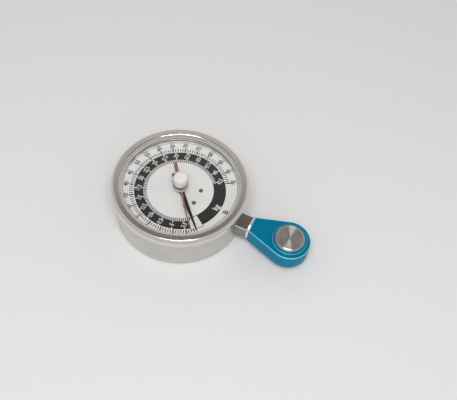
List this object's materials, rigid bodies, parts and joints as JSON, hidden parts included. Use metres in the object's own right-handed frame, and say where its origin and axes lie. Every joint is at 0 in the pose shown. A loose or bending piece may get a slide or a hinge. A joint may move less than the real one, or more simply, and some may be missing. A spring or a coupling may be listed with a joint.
{
  "type": "hydraulic pinch gauge",
  "caption": "Hydraulic pinch gauge: a round dial gauge with a peak pointer and reset knob, a square stem, and a drop-shaped cylinder body with a round press button.",
  "frame": {"origin": "centre of the gauge case's flat back", "axes": "+Z out of the dial along the pointer's axis, +X along the stem towards the press button"},
  "size_m": [0.134, 0.088, 0.0386],
  "materials": {
    "case_steel": "drawn stainless steel, satin",
    "bezel_steel": "polished stainless steel",
    "clear_lens": "clear acrylic",
    "black_rubber": "matt rubber",
    "ring_steel": "bright steel",
    "dial_white": "satin white enamel with printed scales",
    "screw_bronze": "browned brass",
    "stem_nickel": "nickel-plated brass, machined",
    "screw_steel": "bright steel",
    "tube_bronze": "phosphor bronze",
    "movement_brass": "machined brass",
    "pointer_black": "black paint, satin",
    "pointer_red": "dark red paint, satin",
    "hub_nylon": "pale nylon",
    "knob_white": "milky white moulded plastic",
    "washer_fibre": "dark red fibre",
    "washer_steel": "bright steel",
    "body_blue": "blue anodised, satin gloss",
    "button_steel": "face turned stainless steel"
  },
  "bodies": {
    "gauge": {"gauge_case": "case_steel", "bezel_ring": "bezel_steel", "lens": "clear_lens", "lens_gasket": "black_rubber", "dial_ring": "ring_steel", "dial_plate": "dial_white", "dial_screws": "screw_bronze", "socket_block": "stem_nickel", "back_screws": "screw_steel", "bourdon_tube": "tube_bronze", "movement_back_plate": "movement_brass", "movement_front_plate": "movement_brass", "movement_pillars": "movement_brass", "pillar_screws": "screw_steel", "movement_screws": "screw_steel", "hairspring": "tube_bronze", "hairspring_stud": "movement_brass", "seal_washer": "washer_steel", "pinch_body": "body_blue", "cylinder_cap": "body_blue", "cap_seal": "black_rubber", "fill_screw": "screw_steel"},
    "drive": {"pinion_shaft": "screw_steel", "drive_pointer": "pointer_black"},
    "peak": {"max_pointer": "pointer_red", "peak_hub": "hub_nylon", "reset_spindle": "screw_steel", "reset_knob": "knob_white", "knob_washer": "washer_fibre", "friction_washer": "screw_steel"},
    "sector": {"sector_gear": "movement_brass", "sector_arbor": "screw_steel"},
    "tube_tip": {"tip_block": "movement_brass", "link_bar": "movement_brass", "link_pins": "screw_steel"},
    "piston": {"piston_button": "button_steel", "piston_seal": "black_rubber"}
  },
  "joints": [
    {"name": "button_press", "type": "slide", "parent": "gauge", "child": "piston", "axis": [0, 0, -1], "range_m": [0, 0.0012], "stiffness_N_per_m": 352000},
    {"name": "tip_travel", "type": "slide", "parent": "gauge", "child": "tube_tip", "axis": [0, -1, 0], "range_m": [0, 0.00364], "deforming": ["bourdon_tube"]},
    {"name": "sector_swing", "type": "hinge", "parent": "gauge", "child": "sector", "pos_m": [0, -0.0168, 0.015], "axis": [0, 0, 1], "range_deg": [0, 40]},
    {"name": "pointer_turn", "type": "hinge", "parent": "gauge", "child": "drive", "pos_m": [0, 0, 0.015], "axis": [0, 0, -1], "range_deg": [0, 280], "deforming": ["hairspring"]},
    {"name": "peak_lead", "type": "hinge", "parent": "drive", "child": "peak", "pos_m": [0, 0, 0.026], "axis": [0, 0, -1], "range_deg": [0, 340]}
  ],
  "couplings": [
    {"joint": "pointer_turn", "follows": "button_press", "rad_per_m": 4072.4},
    {"joint": "sector_swing", "follows": "button_press", "rad_per_m": 581.78},
    {"joint": "tip_travel", "follows": "button_press", "ratio": 3.033}
  ]
}
